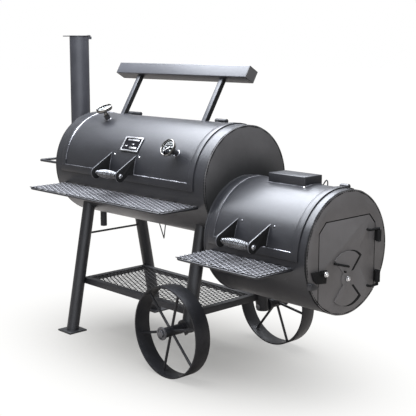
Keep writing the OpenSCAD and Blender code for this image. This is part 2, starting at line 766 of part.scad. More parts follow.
main_shelf_x0 = -1040;
main_shelf_x1 = -60;
fb_shelf_x0 = 28;
fb_shelf_x1 = 492;
low_x0 = left_leg_x - 3;
low_x1 = axle_x + 3;
low_half = 201;
drain_x = -1036;
drain_bore = 13.3;
damper_pin_y = 62;
grate_x0 = -1070;
grate_len = 520;
grate_z = 818;

barrel_shell();
barrel_left_end();
barrel_firebox_divider();
firebox_shell();
firebox_end_ring();
leg_front_left();
leg_rear_left();
leg_front_right();
leg_rear_right();
foot_plates();
leg_tie_rod();
axle_collars();
stub_axles();
axle_end_caps();
main_shelf_frame();
main_shelf_mesh();
firebox_shelf_frame();
firebox_shelf_mesh();
bottom_shelf_frame();
bottom_shelf_mesh();
stack_pipe();
stack_elbow();
end_handle();
drain_pipe();
bucket_hook();
cooking_grates();
grate_rails();
heat_baffle();
fire_grate();
main_hinge_fixed();
firebox_hinge_fixed();
tool_loop();
door_fixed_hinges();
latch_keeper();
main_lid_shell();
main_lid_straps();
main_hinge_moving();
lid_struts();
counterweight_bar();
main_handle_brackets();
main_handle_grip();
badge_plate();
thermometer_sockets();
thermometer_cases();
thermometer_dials();
thermometer_lenses();
left_needle();
right_needle();
firebox_lid_shell();
firebox_lid_straps();
firebox_hinge_moving();
firebox_handle_brackets();
firebox_handle_grip();
warming_box();
firebox_door();
air_damper();
door_latch();
stack_damper();
front_wheel();
rear_wheel();
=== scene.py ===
"""Looks of the offset smoker. New pieces are drawn in millimetres in the part's working frame:
x = 0 is the joint of barrel and firebox, y = 0 the barrel's middle plane, z = 0 the ground."""
import bpy
import bmesh
import json
from math import sin, cos, pi, radians
from mathutils import Matrix, Vector

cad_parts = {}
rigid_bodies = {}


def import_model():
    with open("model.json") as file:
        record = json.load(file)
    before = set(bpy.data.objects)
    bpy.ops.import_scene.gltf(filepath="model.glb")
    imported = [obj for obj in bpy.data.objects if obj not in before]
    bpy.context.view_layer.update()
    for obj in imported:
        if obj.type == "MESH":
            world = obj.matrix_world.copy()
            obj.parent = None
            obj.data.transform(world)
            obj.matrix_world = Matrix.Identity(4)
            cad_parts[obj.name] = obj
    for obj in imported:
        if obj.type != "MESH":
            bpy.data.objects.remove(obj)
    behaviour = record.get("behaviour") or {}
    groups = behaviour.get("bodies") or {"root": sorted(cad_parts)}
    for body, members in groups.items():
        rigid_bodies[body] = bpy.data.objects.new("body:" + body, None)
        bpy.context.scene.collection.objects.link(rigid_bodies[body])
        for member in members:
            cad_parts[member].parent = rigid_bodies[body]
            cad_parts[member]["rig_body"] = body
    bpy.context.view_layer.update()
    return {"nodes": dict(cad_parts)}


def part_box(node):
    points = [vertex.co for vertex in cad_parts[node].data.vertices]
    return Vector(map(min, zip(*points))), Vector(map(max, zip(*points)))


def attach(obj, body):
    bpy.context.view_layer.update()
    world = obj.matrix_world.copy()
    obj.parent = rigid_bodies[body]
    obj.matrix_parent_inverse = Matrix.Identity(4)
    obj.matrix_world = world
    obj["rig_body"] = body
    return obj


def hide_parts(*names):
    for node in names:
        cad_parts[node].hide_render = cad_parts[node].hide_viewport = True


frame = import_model()

edge_low, edge_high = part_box("barrel_firebox_divider")
PLACE = Matrix.Translation((edge_high.x, (edge_low.y + edge_high.y) / 2, 0)) @ Matrix.Scale(0.001, 4)

PIPE = 254.0                # outside radius of both pipes
LID = 254.4                 # outside radius of both lids
BARREL_Z = 830.0            # axis of the barrel
FIREBOX_Z = 610.0           # axis of the firebox
BARREL_X = -1090.0          # outer face of the barrel's left end
END_X = 562.0               # outer face of the firebox's end plate
BOLT = (-6.0, 507.0)        # y and z of the air damper's bolt
LATCH = (-163.0, 554.0)     # y and z of the door latch's stud
BLADE_FRONT = END_X + 5.4   # front face of the damper's blades
MAIN_LID = (-1001.0, -94.4) # x of the seam of the main lid's left strap, and of the lid's right edge
MAIN_LID_HEM = 2.6          # angle of its lower strap's seam above level, in degrees
FIREBOX_LID = (58, 497.0)   # the same for the firebox lid
FIREBOX_LID_HEM = 6.0

# Counterweight: x of the bar's ends, its bottom and top along the struts, x of the struts' left faces,
# and the place and lean of them all on the main lid
BAR_ENDS = (-1015.5, -92.5)
BAR_FOOT, BAR_HEAD = 219, 279
STRUTS = (-865.0, -275.0)
LEAN = Matrix.Translation((0, -5.3, BARREL_Z + 252.7)) @ Matrix.Rotation(radians(-31), 4, "X")

# x, angle above level in degrees, side
GAUGES = ((-855, 67, "left"), (-212, 30.5, "right"))
# x of both faces of a handle's two plates, from the handle's middle
HANDLE_PLATES = (-92.5, -86.5, 86.5, 92.5)
# name, body, x of the middle, extra turn in degrees, axis of its pipe
HANDLES = (("main", "main_lid", -561.0, 0.0, BARREL_Z), ("firebox", "firebox_lid", 264.3, 4.5, FIREBOX_Z))


# ---------------------------------------------------------------- finishes

class Field:
    """A number, colour or vector that changes over a surface."""

    def __init__(self, nodes, socket):
        self.nodes = nodes
        self.socket = socket

    def _math(self, operation, a, b):
        return self.nodes.node("ShaderNodeMath", {"operation": operation}, {0: a, 1: b})

    def __add__(self, other):
        return self._math("ADD", self, other)

    def __radd__(self, other):
        return self._math("ADD", other, self)

    def __sub__(self, other):
        return self._math("SUBTRACT", self, other)

    def __rsub__(self, other):
        return self._math("SUBTRACT", other, self)

    def __mul__(self, other):
        return self._math("MULTIPLY", self, other)

    def __rmul__(self, other):
        return self._math("MULTIPLY", other, self)

    def between(self, low, high):
        """0 below low, 1 above high, and a smooth rise between them."""
        return self.nodes.node("ShaderNodeMapRange", {"interpolation_type": "SMOOTHSTEP"},
                               {"Value": self, "From Min": low, "From Max": high})


class Nodes:
    """The node tree of a material or of the world."""

    def __init__(self, tree):
        self.tree = tree

    def node(self, kind, settings=None, values=None, output=0):
        """Adds a node; its settings are set before the values or links of its sockets."""
        made = self.tree.nodes.new(kind)
        for key, value in (settings or {}).items():
            setattr(made, key, value)
        for key, value in (values or {}).items():
            self.join(made.inputs[key], value)
        return Field(self, made.outputs[output])

    def join(self, socket, value):
        """Links a field to a socket, or sets the socket to a number or colour."""
        if isinstance(value, Field):
            self.tree.links.new(value.socket, socket)
        elif socket.type == "RGBA":
            socket.default_value = (*value, 1)
        else:
            socket.default_value = value


class Finish(Nodes):
    """One material: a Principled shader and the patterns that feed it."""

    def __init__(self, name, **fixed):
        self.material = bpy.data.materials.new(name)
        self.material.use_nodes = True
        super().__init__(self.material.node_tree)
        self.shader = self.tree.nodes["Principled BSDF"]
        self.position = self.node("ShaderNodeTexCoord", output="Object")
        self.feed(**fixed)

    def feed(self, **sockets):
        for name, value in sockets.items():
            self.join(self.shader.inputs[name.replace("_", " ")], value)

    def fed(self, name):
        """What feeds a socket of the shader now."""
        return Field(self, self.shader.inputs[name].links[0].from_socket)

    def noise(self, scale, detail, rough, stretch=None):
        where = self.position
        if stretch:
            where = self.node("ShaderNodeMapping", None, {"Vector": where, "Scale": stretch})
        return self.node("ShaderNodeTexNoise", None,
                         {"Vector": where, "Scale": scale, "Detail": detail, "Roughness": rough})

    def cells(self, scale, feature="F1"):
        return self.node("ShaderNodeTexVoronoi", {"feature": feature},
                         {"Vector": self.position, "Scale": scale}, "Distance")

    def distance(self, centre, weights):
        """Distance from a point, with each axis multiplied by its weight."""
        offset = self.node("ShaderNodeVectorMath", {"operation": "SUBTRACT"}, {0: self.position, 1: centre})
        weighted = self.node("ShaderNodeVectorMath", {"operation": "MULTIPLY"}, {0: offset, 1: weights})
        return self.node("ShaderNodeVectorMath", {"operation": "LENGTH"}, {0: weighted}, "Value")

    def mix(self, share, a, b):
        return self.node("ShaderNodeMix", {"data_type": "RGBA"}, {0: share, 6: a, 7: b}, 2)

    def bump(self, height, distance):
        return self.node("ShaderNodeBump", None, {"Height": height, "Distance": distance})


DUST = (0.30, 0.30, 0.31)
RUBBED = (0.22, 0.22, 0.23)
# black of the painted shade on the barrel's end plates near the firebox
SHADE_BLACK = (0.002, 0.002, 0.002)
RUST = (0.16, 0.065, 0.03)
ALONG_BARREL = (0.35, 1, 1)     # stretches clouds along the barrel


def pit_paint(name, colour, faded, rough, peel=1.0, grain=(1, 1, 1), shine=0.5):
    """Heat-proof satin paint: orange peel, cloudy gloss, dust and a few rubbed specks."""
    paint = Finish(name, Specular_IOR_Level=shine)
    cloud = paint.noise(5, 4, 0.6, grain)
    fine = paint.noise(60, 3, 0.6)
    dust = paint.noise(420, 2, 0.7).between(0.58, 0.75)
    rubbed = (paint.noise(16, 5, 0.65) * paint.noise(240, 2, 0.6)).between(0.40, 0.47)
    tone = paint.mix(cloud.between(0.35, 0.7), colour, faded)
    tone = paint.mix(dust * 0.10, tone, DUST)
    tone = paint.mix(rubbed * 0.22, tone, RUBBED)
    skin = paint.noise(700, 2, 0.5) * 0.5 + paint.cells(520, "SMOOTH_F1") * 0.5
    paint.feed(Base_Color=tone,
               Roughness=(cloud - 0.5) * 0.10 + (fine - 0.5) * 0.10 + dust * 0.10 - rubbed * 0.05 + rough,
               Normal=paint.bump(skin * 0.6 + fine * 0.4, 0.00016 * peel))
    return paint


def shaded_end_paint(name, colour, faded):
    """Matt paint of the barrel's ends, with painted shade that turns it black round the firebox's axis, where
    the firebox joins.
    """
    paint = pit_paint(name, colour, faded, 0.58, 1.4)
    ragged = (paint.noise(9, 3, 0.6) - 0.5) * 0.03
    from_axis = paint.distance(PLACE @ Vector((0, 0, FIREBOX_Z)), (0, 1, 1))
    # painted shade: black within 0.26 to 0.40 m of the firebox's axis, with a ragged edge
    painted_shade = 1 - (from_axis + ragged).between(0.262, 0.40)
    paint.feed(Base_Color=paint.mix(painted_shade * 0.93, paint.fed("Base Color"), SHADE_BLACK),
               Roughness=paint.fed("Roughness") + painted_shade * 0.35)
    return paint


def rod_steel(name, colour, metal, rough, wear):
    """Steel with fine turning marks, stains and brighter rubbed places."""
    steel = Finish(name, Metallic=metal)
    marks = steel.noise(90, 3, 0.6, (1, 18, 1))
    stain = steel.noise(22, 5, 0.65)
    bright = tuple(min(1, c * wear) for c in colour)
    steel.feed(Base_Color=steel.mix(stain.between(0.4, 0.65), colour, bright),
               Roughness=(marks - 0.5) * 0.18 + (stain - 0.5) * 0.2 + rough,
               Normal=steel.bump(marks, 0.00008))
    return steel


def baked_steel(name):
    """Grates and baffle: dark seasoned steel with soot, fat film and rust in the low spots."""
    steel = Finish(name, Metallic=0.35)
    soot = steel.noise(14, 5, 0.65)
    pits = steel.cells(260)
    rust = (steel.noise(40, 4, 0.7) * soot).between(0.26, 0.36)
    tone = steel.mix(soot.between(0.35, 0.65), (0.035, 0.032, 0.03), (0.10, 0.092, 0.085))
    steel.feed(Base_Color=steel.mix(rust * 0.5, tone, RUST),
               Roughness=soot * 0.35 + rust * 0.2 + 0.32,
               Normal=steel.bump(pits * 0.5 + soot * 0.5, 0.0006))
    return steel


def dial_enamel(name):
    """Matt black enamel with a faint grain."""
    enamel = Finish(name, Specular_IOR_Level=0.02)
    grain = enamel.noise(900, 2, 0.5)
    enamel.feed(Base_Color=enamel.mix(grain.between(0.4, 0.7), (0.005, 0.005, 0.006), (0.010, 0.010, 0.011)),
                Roughness=grain * 0.15 + 0.6,
                Normal=enamel.bump(grain, 0.00003))
    return enamel


def print_ink(name, colour):
    """Printed strokes, thinner in places."""
    ink = Finish(name)
    grain = ink.noise(600, 2, 0.6)
    ink.feed(Base_Color=ink.mix(grain.between(0.45, 0.75), colour, tuple(c * 0.8 for c in colour)),
             Roughness=grain * 0.2 + 0.4)
    return ink


def clear_lens(name):
    """Clear glass with a faint greasy film."""
    glass = Finish(name, Base_Color=(0.95, 0.97, 0.98), Transmission_Weight=1.0, IOR=1.08)
    film = glass.noise(30, 4, 0.6)
    glass.feed(Roughness=film.between(0.5, 0.8) * 0.05 + 0.02)
    return glass


BLACK = pit_paint("satin pit paint", (0.010, 0.0103, 0.012), (0.017, 0.0173, 0.020), 0.37, 1.0, ALONG_BARREL)
STACK = pit_paint("stack paint", (0.017, 0.0175, 0.021), (0.026, 0.0265, 0.031), 0.45, 1.0)
# lighter copy of the black paint for lit faces: painted highlight
LIT_BAR_PAINT = pit_paint("counterweight paint lightened as painted highlight", (0.036, 0.037, 0.041), (0.048, 0.049, 0.054), 0.36, 1.1,
                      ALONG_BARREL)
FRAME = pit_paint("frame paint", (0.009, 0.009, 0.0102), (0.015, 0.015, 0.0165), 0.44, 1.3, shine=0.42)
WHEEL = pit_paint("wheel paint", (0.006, 0.006, 0.007), (0.011, 0.011, 0.0125), 0.42, 1.3, shine=0.3)
PLATE = pit_paint("matt plate paint", (0.088, 0.083, 0.081), (0.110, 0.104, 0.102), 0.58, 1.4)
# end plates, with painted shade near the firebox
END = shaded_end_paint("barrel end paint", (0.040, 0.038, 0.0375), (0.053, 0.0505, 0.050))
# lighter strand tops as painted highlight; the dark paint below is the bottom shelf's own and the upper
# strands' painted shade
MESH = pit_paint("strand tops lightened as painted highlight", (0.125, 0.125, 0.133), (0.20, 0.20, 0.21), 0.36, 1.6)
LOW_MESH_AND_SHADED_SIDES = pit_paint("bottom mesh paint and shaded strand sides", (0.008, 0.008, 0.009), (0.014, 0.014, 0.015), 0.55, 1.6, shine=0.3)
# deep black paint of the real black parts, also used as painted shade in gaps and seams and on shaded sides
DEEP_BLACK_AND_SHADE = pit_paint("deep black paint and painted shade", (0.004, 0.004, 0.004), (0.007, 0.007, 0.007), 0.8, 1.0, shine=0.2)
# weld beads lightened from the black paint: bright and dim painted highlights
WELD_HIGHLIGHT = rod_steel("weld bead lightened as bright painted highlight", (0.30, 0.30, 0.32), 0.8, 0.28, 2.0)
DIM_WELD_HIGHLIGHT = rod_steel("weld bead lightened as dim painted highlight", (0.055, 0.055, 0.06), 0.3, 0.36, 2.4)
COIL = rod_steel("bright coil wire", (0.11, 0.111, 0.114), 1.0, 0.20, 1.8)
NUT = rod_steel("polished nut", (0.80, 0.80, 0.81), 1.0, 0.22, 1.15)
DULL_NUT = rod_steel("dulled nut", (0.16, 0.16, 0.165), 1.0, 0.32, 1.5)
CASE = rod_steel("gauge case chrome", (0.17, 0.165, 0.155), 1.0, 0.13, 1.5)
AXLE = rod_steel("oiled axle steel", (0.09, 0.09, 0.095), 0.8, 0.38, 2.0)
GRATE = baked_steel("seasoned grate steel")
FACE = dial_enamel("dial enamel")
WHITE = print_ink("white dial print", (0.85, 0.85, 0.83))
ORANGE = print_ink("orange dial print", (0.80, 0.22, 0.14))
LENS = clear_lens("gauge glass")
SILVER = rod_steel("badge rim", (0.36, 0.36, 0.365), 1.0, 0.40, 1.3)


# ---------------------------------------------------------------- making pieces

def show(name, bm, body, finishes, stands_for=(), pick=None, placed=False):
    """Puts a drawn piece into the scene as an object that rides on its body. Where it has several
    finishes, pick(place in mm, normal) gives each face the number of its finish."""
    if not placed:
        bmesh.ops.transform(bm, matrix=PLACE, verts=bm.verts)
    if pick:
        back = PLACE.inverted()
        for face in bm.faces:
            face.material_index = pick(back @ face.calc_center_median(), face.normal)
    mesh = bpy.data.meshes.new(name)
    bm.to_mesh(mesh)
    bm.free()
    for finish in finishes:
        mesh.materials.append(finish.material)
    mesh.polygons.foreach_set("use_smooth", [True] * len(mesh.polygons))
    mesh.set_sharp_from_angle(angle=radians(32))
    piece = bpy.data.objects.new(name, mesh)
    bpy.context.scene.collection.objects.link(piece)
    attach(piece, body)
    if stands_for:
        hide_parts(*stands_for)


def merge(bm, part, *places):
    """Adds a drawn part to bm once for each place, and frees it."""
    mesh = bpy.data.meshes.new("part")
    part.to_mesh(mesh)
    part.free()
    for place in places or (Matrix.Identity(4),):
        copy = mesh.copy()
        copy.transform(place)
        bm.from_mesh(copy)
        bpy.data.meshes.remove(copy)
    bpy.data.meshes.remove(mesh)
    return bm


def ease(bm, width, segments=2, angle=30):
    """Rounds the edges of a closed part."""
    edges = [e for e in bm.edges if e.is_manifold and e.calc_face_angle(0) > radians(angle)]
    bmesh.ops.bevel(bm, geom=edges, offset=width, offset_type="OFFSET", segments=segments, profile=0.5,
                    affect="EDGES", clamp_overlap=True, material=-1)
    return bm


def cut_away(bm, place, normal):
    """Cuts off what lies past a plane, on the side that its normal points to; gives the cut's geometry."""
    return bmesh.ops.bisect_plane(bm, geom=bm.verts[:] + bm.edges[:] + bm.faces[:], plane_co=place,
                                  plane_no=normal, clear_outer=True)["geom_cut"]


def of_kind(geometry, kind):
    """The vertices or edges among what an operator made."""
    return [g for g in geometry if isinstance(g, kind)]


def rod(p, q, r, sides, end=None, soft=0.0):
    """Round bar from p to q, or a cone where the radius at its end differs."""
    p, q = Vector(p), Vector(q)
    bm = bmesh.new()
    bmesh.ops.create_cone(bm, cap_ends=True, segments=sides, radius1=r, radius2=r if end is None else end,
                          depth=(q - p).length)
    if soft:
        ease(bm, soft, 2, 50)
    turn = (q - p).to_track_quat("Z", "Y").to_matrix().to_4x4()
    bmesh.ops.transform(bm, matrix=Matrix.Translation((p + q) / 2) @ turn, verts=bm.verts)
    return bm


def block(low, high, soft, segments=2):
    """Box between two corners, with its edges rounded where soft isn't 0."""
    low, high = Vector(low), Vector(high)
    bm = bmesh.new()
    bmesh.ops.create_cube(bm, size=1)
    bmesh.ops.scale(bm, vec=high - low, verts=bm.verts)
    bmesh.ops.translate(bm, vec=(low + high) / 2, verts=bm.verts)
    return ease(bm, soft, segments) if soft else bm


def lathe(profile, steps):
    """Closed solid of revolution about Z from (radius, height) pairs that start and end on the axis."""
    bm = bmesh.new()
    line = [bm.verts.new((r, 0, h)) for r, h in profile]
    edges = [bm.edges.new(pair) for pair in zip(line, line[1:])]
    bmesh.ops.spin(bm, geom=line + edges, cent=(0, 0, 0), axis=(0, 0, 1), angle=2 * pi, steps=steps,
                   use_merge=True)
    bmesh.ops.remove_doubles(bm, verts=bm.verts, dist=0.001)
    bmesh.ops.recalc_face_normals(bm, faces=bm.faces)
    return bm


def sweep(path, size, sides):
    """Round bar along a path; size gives the radius at each point from the point's number."""
    path = [Vector(p) for p in path]
    tangents = []
    for i in range(len(path)):
        ahead, behind = path[min(i + 1, len(path) - 1)], path[max(i - 1, 0)]
        tangents.append((ahead - behind).normalized())
    turn = tangents[0].to_track_quat("Z", "Y")
    bm = bmesh.new()
    ring = bmesh.ops.create_circle(bm, cap_ends=False, segments=sides, radius=1)["verts"]
    edges = first = bm.edges[:]
    last = Matrix.Identity(4)
    for i, point in enumerate(path):
        if i:
            turn = tangents[i - 1].rotation_difference(tangents[i]) @ turn
            made = bmesh.ops.extrude_edge_only(bm, edges=edges)["geom"]
            ring = of_kind(made, bmesh.types.BMVert)
            edges = of_kind(made, bmesh.types.BMEdge)
        here = Matrix.Translation(point) @ turn.to_matrix().to_4x4() @ Matrix.Scale(size(i), 4)
        bmesh.ops.transform(bm, matrix=here @ last.inverted(), verts=ring)
        last = here
    bmesh.ops.contextual_create(bm, geom=first)
    bmesh.ops.contextual_create(bm, geom=edges)
    bmesh.ops.recalc_face_normals(bm, faces=bm.faces)
    return bm


def on_skin(x, a, axis_z, r):
    """Place at radius r round a pipe, at angle a above level: local Z outwards, local Y upwards."""
    return (Matrix.Translation((x, 0, axis_z)) @ Matrix.Rotation(radians(90 - a), 4, "X")
            @ Matrix.Translation((0, 0, r)))


def around(x, a0, a1, axis_z, r):
    """Points about a degree apart round a pipe."""
    count = max(2, round(abs(a1 - a0)))
    return [on_skin(x, a0 + (a1 - a0) * i / count, axis_z, r) @ Vector() for i in range(count + 1)]


def straight(p, q, step=4.0):
    """Points about a step apart from p to q."""
    p, q = Vector(p), Vector(q)
    count = max(2, round((q - p).length / step))
    return [p.lerp(q, i / count) for i in range(count + 1)]


def along(x0, x1, a, axis_z, r):
    """Points on a line along a pipe."""
    return straight(on_skin(x0, a, axis_z, r) @ Vector(), on_skin(x1, a, axis_z, r) @ Vector())


def loop_of(corners, step):
    """Points along the four sides of a frame, without the last point of each side."""
    sides = zip(corners, corners[1:] + corners[:1])
    return [point for a, b in sides for point in straight(a, b, step)[:-1]]


def bead(path, r):
    """Rippled weld bead along a path."""
    def ripple(i):
        return r * (1 + 0.14 * sin(i * 2.2) + 0.10 * sin(i * 0.37 + 1) + 0.06 * sin(i * 0.11))

    return sweep(path, ripple, 7)


def span(node):
    """A node's box in millimetres in the working frame."""
    back = PLACE.inverted()
    return [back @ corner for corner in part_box(node)]


def eased_node(node, finishes, width, pick=None):
    """A CAD node's own solid with its edges rounded."""
    source = frame["nodes"][node]
    bm = bmesh.new()
    bm.from_mesh(source.data)
    bmesh.ops.remove_doubles(bm, verts=bm.verts, dist=4e-6)
    bmesh.ops.dissolve_limit(bm, angle_limit=radians(0.5), verts=bm.verts, edges=bm.edges)
    ease(bm, width / 1000, 2, 33)
    show("eased_" + node, bm, source["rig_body"], finishes, (node,), pick, True)


# ---------------------------------------------------------------- CAD nodes and their finishes

PLAIN = {
    GRATE: ("cooking_grates", "grate_rails", "heat_baffle", "fire_grate"),
    FRAME: ("leg_front_left", "leg_rear_left", "leg_front_right", "leg_rear_right", "leg_tie_rod",
            "axle_collars", "main_shelf_frame", "firebox_shelf_frame", "end_handle", "drain_pipe",
            "bucket_hook", "tool_loop"),
    BLACK: ("barrel_shell", "firebox_shell", "main_hinge_fixed", "firebox_hinge_fixed", "main_hinge_moving",
            "firebox_hinge_moving", "main_lid_shell", "firebox_lid_shell", "thermometer_sockets"),
    STACK: ("stack_pipe", "stack_elbow"),
    AXLE: ("stub_axles",),
    DEEP_BLACK_AND_SHADE: ("door_fixed_hinges",),
}
for finish, nodes in PLAIN.items():
    for node in nodes:
        for slot in frame["nodes"][node].material_slots:
            slot.material = finish.material

EASED = {
    "barrel_left_end": (END, 1.5), "barrel_firebox_divider": (END, 1.5),
    "foot_plates": (FRAME, 1.2), "axle_end_caps": (AXLE, 1.0), "bottom_shelf_frame": (FRAME, 0.9),
    "latch_keeper": (BLACK, 1.0), "main_lid_straps": (BLACK, 0.9), "firebox_lid_straps": (BLACK, 0.9),
    "warming_box": (BLACK, 1.6), "door_latch": (DEEP_BLACK_AND_SHADE, 0.9), "stack_damper": (BLACK, 0.8),
    "front_wheel": (WHEEL, 1.2), "rear_wheel": (WHEEL, 1.2),
}
for node, (finish, width) in EASED.items():
    eased_node(node, (finish,), width)


def cut_edge(place, normal):
    """The wide faces that look along the barrel keep the first finish; the cut edges take the second."""
    return 0 if abs(normal.x) > 0.96 else 1


def door_parts(place, normal):
    """The dome nuts are bright; the bent pins and studs are black, and the door's cut edges are black as
    painted shade in the gap round the door.
    """
    for (y, z), nut_foot in ((BOLT, END_X + 6.5), (LATCH, END_X + 22)):
        if (place.y - y) ** 2 + (place.z - z) ** 2 < 210 and place.x > nut_foot:
            return 1
    return 2 if place.x > END_X + 0.4 or cut_edge(place, normal) else 0


def bar_on_blade(place, normal):
    """The damper's bar and stop pin stand in front of its blades and are black."""
    return 1 if place.x > BLADE_FRONT + 0.2 else 0


def badge_field(place, normal):
    """The sunk field of the badge plate is black enamel; its rim and bars stay bright."""
    on_plate = on_skin(-529.5, 34, BARREL_Z, LID).inverted() @ place
    return 1 if abs(on_plate.z - 4) < 0.2 else 0


eased_node("firebox_door", (PLATE, NUT, DEEP_BLACK_AND_SHADE), 1.0, door_parts)
# the ring's cut edges round the door opening are deep black: painted shade in the gap
eased_node("firebox_end_ring", (PLATE, DEEP_BLACK_AND_SHADE), 1.3, cut_edge)
eased_node("air_damper", (PLATE, DEEP_BLACK_AND_SHADE), 1.2, bar_on_blade)
# the plates' wide faces are deep black as painted shade, and their cut edges take the lighter bar paint as
# painted highlight
for node in ("main_handle_brackets", "firebox_handle_brackets"):
    eased_node(node, (DEEP_BLACK_AND_SHADE, LIT_BAR_PAINT), 1.0, cut_edge)


def damper_painted_shadow():
    """Black film 0.1 mm thick and clear of the door, a painted shadow beside the back edges of the damper's
    two blades.
    """
    source = frame["nodes"]["air_damper"]
    film = bmesh.new()
    # each blade's front face, moved sideways and down, paints the shadow that it casts on the door
    for side, shift in ((1, (23, -1)), (-1, (26, -8))):
        blade = bmesh.new()
        blade.from_mesh(source.data)
        bmesh.ops.remove_doubles(blade, verts=blade.verts, dist=4e-6)
        bmesh.ops.transform(blade, matrix=PLACE.inverted(), verts=blade.verts)
        other = [f for f in blade.faces
                 if f.normal.x < 0.96 or abs(f.calc_center_median().x - BLADE_FRONT) > 0.2]
        bmesh.ops.delete(blade, geom=other, context="FACES")
        cut_away(blade, (0, 0, BOLT[1] + side * 26), (0, 0, -side))
        made = bmesh.ops.extrude_face_region(blade, geom=blade.faces[:])["geom"]
        bmesh.ops.translate(blade, vec=(0.1, 0, 0), verts=of_kind(made, bmesh.types.BMVert))
        bmesh.ops.recalc_face_normals(blade, faces=blade.faces)
        merge(film, blade, Matrix.Translation((-5.3, *shift)))
    show("damper_painted_shadow", film, source["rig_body"], (DEEP_BLACK_AND_SHADE,))


damper_painted_shadow()
eased_node("badge_plate", (SILVER, FACE), 0.5, badge_field)


# ---------------------------------------------------------------- expanded-metal shelves

def shaded_strand_side(place, normal):
    """The tops of the strands take the lighter paint as painted highlight; their sides take the dark one as
    painted shade.
    """
    return 1 if normal.z < 0.8 else 0


def expanded_metal(node, finish, lift, lean, wide, thick):
    """Diamond mesh that fills a node's box. Its strands lean by one angle, and flat bonds join them."""
    low, high = span(node)
    columns, rows = round((high.x - low.x) / 50.8), round((high.y - low.y) / 23.4)
    way, across = (high.x - low.x) / columns, (high.y - low.y) / rows
    cell = block((-5, -wide / 2, -thick / 2), (5, wide / 2, thick / 2), 0)
    for side in (1, -1):
        heading = Vector((way, side * across)) / 2
        arm = block((0, -wide / 2, -thick / 2), (heading.length, wide / 2, thick / 2), 0)
        merge(cell, arm, Matrix.Rotation(side * heading.angle(Vector((1, 0))), 4, "Z")
              @ Matrix.Rotation(radians(lean), 4, "X"))
    middle = high.z + lift - 2.2
    places = []
    for j in range(2 * rows + 1):
        for i in range(-1, 2 * columns + 1):
            if (i + j) % 2 == 0:
                places.append(Matrix.Translation((low.x + i * way / 2, low.y + j * across / 2, middle)))
    sheet = merge(bmesh.new(), cell, *places)
    for edge, normal in (((low.x, 0, 0), (-1, 0, 0)), ((high.x, 0, 0), (1, 0, 0)),
                         ((0, low.y, 0), (0, -1, 0)), ((0, high.y, 0), (0, 1, 0))):
        bmesh.ops.holes_fill(sheet, edges=of_kind(cut_away(sheet, edge, normal), bmesh.types.BMEdge), sides=0)
    show(node.replace("mesh", "expanded_metal"), sheet, "stand_and_barrel", (finish, LOW_MESH_AND_SHADED_SIDES),
         (node,), shaded_strand_side)


expanded_metal("main_shelf_mesh", MESH, 0.6, 10, 3.0, 3.8)
expanded_metal("firebox_shelf_mesh", MESH, 0.6, 12, 3.2, 4.0)
expanded_metal("bottom_shelf_mesh", LOW_MESH_AND_SHADED_SIDES, 0.0, -4, 4.2, 2.4)


# ---------------------------------------------------------------- coil grips

def coil_grip(name, node, body):
    """Barrel-shaped spring of bright wire on its through-bolt, with a washer and a nut at each end."""
    low, high = span(node)
    middle = (low + high) / 2
    half, turns, wire, steps = 86.0, 31, 2.7, 18
    path = []
    for i in range(turns * steps + 1):
        t = i / (turns * steps)
        r = 6.5 + 11.5 * sin(pi * t) ** 0.9
        a = 2 * pi * i / steps
        path.append((middle.x + (t - 0.5) * 2 * (half - wire), middle.y + r * cos(a), middle.z + r * sin(a)))
    show(name + "_coil", sweep(path, lambda i: wire, 8), body, (COIL,), (node,))

    def turned(x0, x1, r, sides, soft):
        return rod(middle + Vector((x0, 0, 0)), middle + Vector((x1, 0, 0)), r, sides, None, soft)

    bolt = turned(-97.5, 97.5, 5, 24, 0.8)
    for s in (-1, 1):
        merge(bolt, turned(s * 92.5, s * 94.5, 11, 32, 0.4))
        merge(bolt, turned(s * 94.5, s * 98.5, 9, 6, 0.8))
    show(name + "_bolt", bolt, body, (NUT,))


coil_grip("main_grip", "main_handle_grip", "main_lid")
coil_grip("firebox_grip", "firebox_handle_grip", "firebox_lid")


# ---------------------------------------------------------------- counterweight

def counterweight():
    """Square bar across the main lid, its two end caps with their weld beads, and its struts."""
    bar = block((BAR_ENDS[0], -30, BAR_FOOT), (BAR_ENDS[1], 30, BAR_HEAD), 3.5, 4)
    # the bar's faces take the lighter paint as painted highlight; its underside keeps the plain black paint
    show("rounded_counterweight", merge(bmesh.new(), bar, LEAN), "main_lid", (LIT_BAR_PAINT, BLACK),
         ("counterweight_bar",), lambda place, normal: 1 if normal.z < -0.3 else 0)
    caps = bmesh.new()
    for x, out in zip(BAR_ENDS, (-1, 1)):
        face = sorted((x, x + out * 0.9))
        merge(caps, block((face[0], -27, BAR_FOOT + 3), (face[1], 27, BAR_HEAD - 3), 0.4, 1), LEAN)
        corners = [LEAN @ Vector((x + out * 0.3, y, z)) for y, z in
                   ((-28, BAR_FOOT + 2), (28, BAR_FOOT + 2), (28, BAR_HEAD - 2), (-28, BAR_HEAD - 2))]
        for a, b in zip(corners, corners[1:] + corners[:1]):
            merge(caps, bead(straight(a, b), 1.2))
    show("counterweight_end_caps", caps, "main_lid", (END,))
    struts = bmesh.new()
    for x in STRUTS:
        merge(struts, block((x, -10, -4), (x + 25, 15, BAR_FOOT), 2.5, 3), LEAN)
    # the struts' fronts take the lighter paint as painted highlight, and their sides the deep black as
    # painted shade
    show("rounded_struts", struts, "main_lid", (LIT_BAR_PAINT, DEEP_BLACK_AND_SHADE), ("lid_struts",),
         lambda place, normal: 1 if abs(normal.x) > 0.9 else 0)


counterweight()


# ---------------------------------------------------------------- thermometers

ZERO_ANGLE = 215    # where the dial's scale starts, in degrees
TICKS = 51          # strokes on the scale
TICK_TURN = 5       # degrees between two strokes


